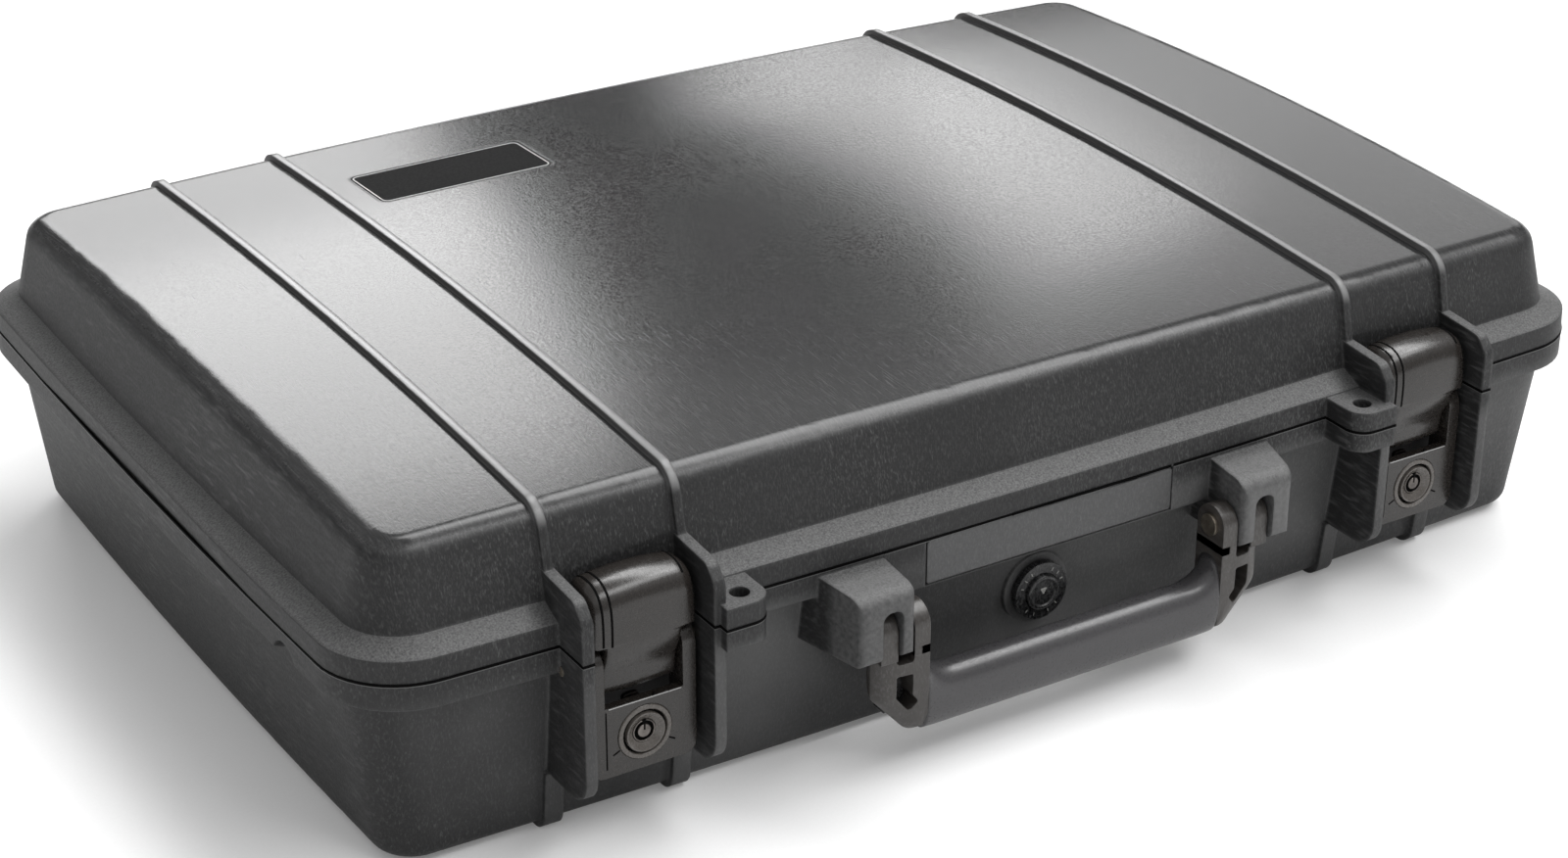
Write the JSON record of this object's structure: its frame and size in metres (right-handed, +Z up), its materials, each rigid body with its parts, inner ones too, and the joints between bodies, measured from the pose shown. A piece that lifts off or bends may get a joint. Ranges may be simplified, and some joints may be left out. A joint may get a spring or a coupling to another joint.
{
  "type": "protective laptop case",
  "caption": "Hard moulded attache case with a hinged crowned lid, curled double-throw latches with key locks, a folding front handle, a pressure valve and foam inside.",
  "frame": {"origin": "middle of the overall length and depth, on the plane of the bottom ribs", "axes": "+X to the right along the front, -Y out of the front, +Z up"},
  "size_m": [0.505, 0.3666, 0.1223],
  "materials": {
    "case_shell": "fine pebble grain, scuffed",
    "case_trim": "fine grain",
    "foam": "open-cell foam",
    "black_plastic": "satin",
    "seal_rubber": "matt",
    "handle_plastic": "satin",
    "grip_rubber": "soft matt",
    "pin_steel": "plain",
    "latch_plastic": "satin",
    "lock_bezel": "satin",
    "lock_metal": "turned"
  },
  "bodies": {
    "base": {"base_shell": "case_shell", "base_foam": "foam", "base_pad": "foam", "nameplate_blank": "case_trim", "valve_body": "black_plastic", "valve_seal": "seal_rubber", "valve_nut": "black_plastic", "hinge_pin_left": "pin_steel", "hinge_pin_right": "pin_steel", "handle_pin_left": "pin_steel", "handle_pin_right": "pin_steel", "lever_pins_left": "pin_steel", "lever_pins_right": "pin_steel"},
    "lid": {"lid_shell": "case_shell", "lid_seal": "seal_rubber", "lid_foam": "foam"},
    "handle": {"handle_frame": "handle_plastic", "handle_grip": "grip_rubber"},
    "valve_cap": {"valve_knob": "black_plastic"},
    "lever_left": {"latch_lever_left": "latch_plastic", "hook_pin_left": "pin_steel", "lock_bezel_left": "lock_bezel"},
    "hook_left": {"latch_hook_left": "latch_plastic"},
    "key_left": {"lock_core_left": "lock_metal", "lock_cam_left": "lock_metal"},
    "lever_right": {"latch_lever_right": "latch_plastic", "hook_pin_right": "pin_steel", "lock_bezel_right": "lock_bezel"},
    "hook_right": {"latch_hook_right": "latch_plastic"},
    "key_right": {"lock_core_right": "lock_metal", "lock_cam_right": "lock_metal"}
  },
  "joints": [
    {"name": "lid_hinge", "type": "hinge", "parent": "base", "child": "lid", "pos_m": [0, 0.17888, 0.075], "axis": [-1, 0, 0], "range_deg": [0, 110]},
    {"name": "handle_fold", "type": "hinge", "parent": "base", "child": "handle", "pos_m": [0, -0.17408, 0.0544], "axis": [-1, 0, 0], "range_deg": [0, 95]},
    {"name": "valve_turn", "type": "hinge", "parent": "base", "child": "valve_cap", "pos_m": [0, -0.15888, 0.0389], "axis": [0, -1, 0], "range_deg": [0, 90]},
    {"name": "lever_swing_left", "type": "hinge", "parent": "base", "child": "lever_left", "pos_m": [-0.1585, -0.16143, 0.0664], "axis": [-1, 0, 0], "range_deg": [0, 90]},
    {"name": "hook_throw_left", "type": "hinge", "parent": "lever_left", "child": "hook_left", "pos_m": [-0.1585, -0.16103, 0.0574], "axis": [-1, 0, 0], "range_deg": [-84, 0]},
    {"name": "key_turn_left", "type": "hinge", "parent": "lever_left", "child": "key_left", "pos_m": [-0.1585, -0.16183, 0.0404], "axis": [0, -1, 0], "range_deg": [0, 90]},
    {"name": "lever_swing_right", "type": "hinge", "parent": "base", "child": "lever_right", "pos_m": [0.1585, -0.16143, 0.0664], "axis": [-1, 0, 0], "range_deg": [0, 90]},
    {"name": "hook_throw_right", "type": "hinge", "parent": "lever_right", "child": "hook_right", "pos_m": [0.1585, -0.16103, 0.0574], "axis": [-1, 0, 0], "range_deg": [-84, 0]},
    {"name": "key_turn_right", "type": "hinge", "parent": "lever_right", "child": "key_right", "pos_m": [0.1585, -0.16183, 0.0404], "axis": [0, -1, 0], "range_deg": [0, 90]}
  ],
  "couplings": [
    {"joint": "hook_throw_left", "follows": "lever_swing_left", "ratio": -0.93},
    {"joint": "hook_throw_right", "follows": "lever_swing_right", "ratio": -0.93}
  ]
}
